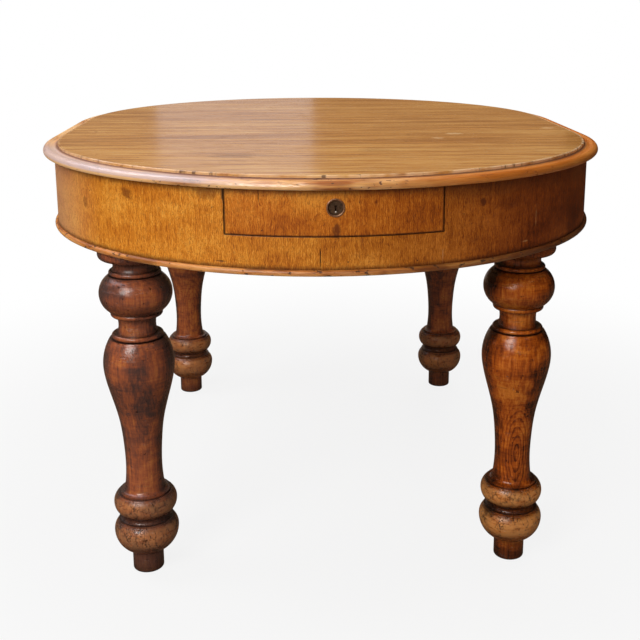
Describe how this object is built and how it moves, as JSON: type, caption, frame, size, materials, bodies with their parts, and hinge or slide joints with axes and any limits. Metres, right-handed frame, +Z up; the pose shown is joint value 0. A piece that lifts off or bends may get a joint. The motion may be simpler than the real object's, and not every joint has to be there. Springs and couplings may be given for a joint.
{
  "type": "extending dining table",
  "caption": "Oval wooden dining table with turned legs, a moulded edge, a curved apron and a locking drawer; its halves slide apart on telescopic runners.",
  "frame": {"origin": "on the floor under the middle of the closed table", "axes": "+X across the table, +Y along it with the drawer end towards -Y, +Z up"},
  "size_m": [1.094, 1.3838, 0.78],
  "materials": {
    "top_wood": "worn french polish, tan brown",
    "edge_wood": "worn french polish, red brown",
    "apron_wood": "polished veneer, golden to red brown",
    "bead_wood": "worn polish, red brown",
    "leg_wood": "polished, dark red brown",
    "drawer_front_wood": "polished veneer, golden brown",
    "drawer_wood": "bare pale wood",
    "inner_wood": "bare wood",
    "lock_brass": "aged",
    "plug_bronze": "dark patina",
    "lock_iron": "dark",
    "screw_steel": "dull"
  },
  "bodies": {
    "front_half": {"front_top_boards": "top_wood", "front_edge_left": "edge_wood", "front_edge_middle": "edge_wood", "front_edge_right": "edge_wood", "front_apron": "apron_wood", "front_bead": "bead_wood", "front_cross_rail": "inner_wood", "front_right_leg": "leg_wood", "front_left_leg": "leg_wood", "front_right_leg_block": "inner_wood", "front_left_leg_block": "inner_wood", "front_right_runner": "inner_wood", "front_left_runner": "inner_wood", "right_drawer_runner": "inner_wood", "left_drawer_runner": "inner_wood", "drawer_stops": "inner_wood", "drawer_runner_screws": "screw_steel", "front_runner_screws": "screw_steel", "front_glue_blocks": "inner_wood", "alignment_pegs": "inner_wood"},
    "back_half": {"back_top_boards": "top_wood", "back_edge_right": "edge_wood", "back_edge_middle": "edge_wood", "back_edge_left": "edge_wood", "back_apron": "apron_wood", "back_bead": "bead_wood", "back_cross_rail": "inner_wood", "back_right_leg": "leg_wood", "back_left_leg": "leg_wood", "back_right_leg_block": "inner_wood", "back_left_leg_block": "inner_wood", "back_right_runner": "inner_wood", "back_left_runner": "inner_wood", "back_runner_screws": "screw_steel", "back_glue_blocks": "inner_wood"},
    "middle_runners": {"right_middle_runner": "inner_wood", "left_middle_runner": "inner_wood"},
    "drawer": {"drawer_front": "drawer_front_wood", "drawer_right_side": "drawer_wood", "drawer_left_side": "drawer_wood", "drawer_back": "drawer_wood", "drawer_bottom": "drawer_wood", "lock_ring": "lock_brass", "lock_case": "lock_iron", "lock_screws": "screw_steel"},
    "lock_plug": {"lock_plug": "plug_bronze", "plug_pin": "lock_brass"},
    "lock_bolt": {"lock_bolt": "lock_iron"}
  },
  "joints": [
    {"name": "extension", "type": "slide", "parent": "front_half", "child": "back_half", "axis": [0, 1, 0], "range_m": [0, 1]},
    {"name": "middle_slide", "type": "slide", "parent": "front_half", "child": "middle_runners", "axis": [0, 1, 0], "range_m": [0, 0.5]},
    {"name": "drawer_slide", "type": "slide", "parent": "front_half", "child": "drawer", "axis": [0, -1, 0], "range_m": [0, 0.3]},
    {"name": "plug_turn", "type": "hinge", "parent": "drawer", "child": "lock_plug", "pos_m": [0, -0.66, 0.73], "axis": [0, 1, 0], "range_deg": [0, 90]},
    {"name": "bolt_slide", "type": "slide", "parent": "drawer", "child": "lock_bolt", "axis": [0, 0, 1], "range_m": [0, 0.009]}
  ],
  "couplings": [
    {"joint": "middle_slide", "follows": "extension", "ratio": 0.5},
    {"joint": "plug_turn", "follows": "bolt_slide", "rad_per_m": 174.5}
  ]
}
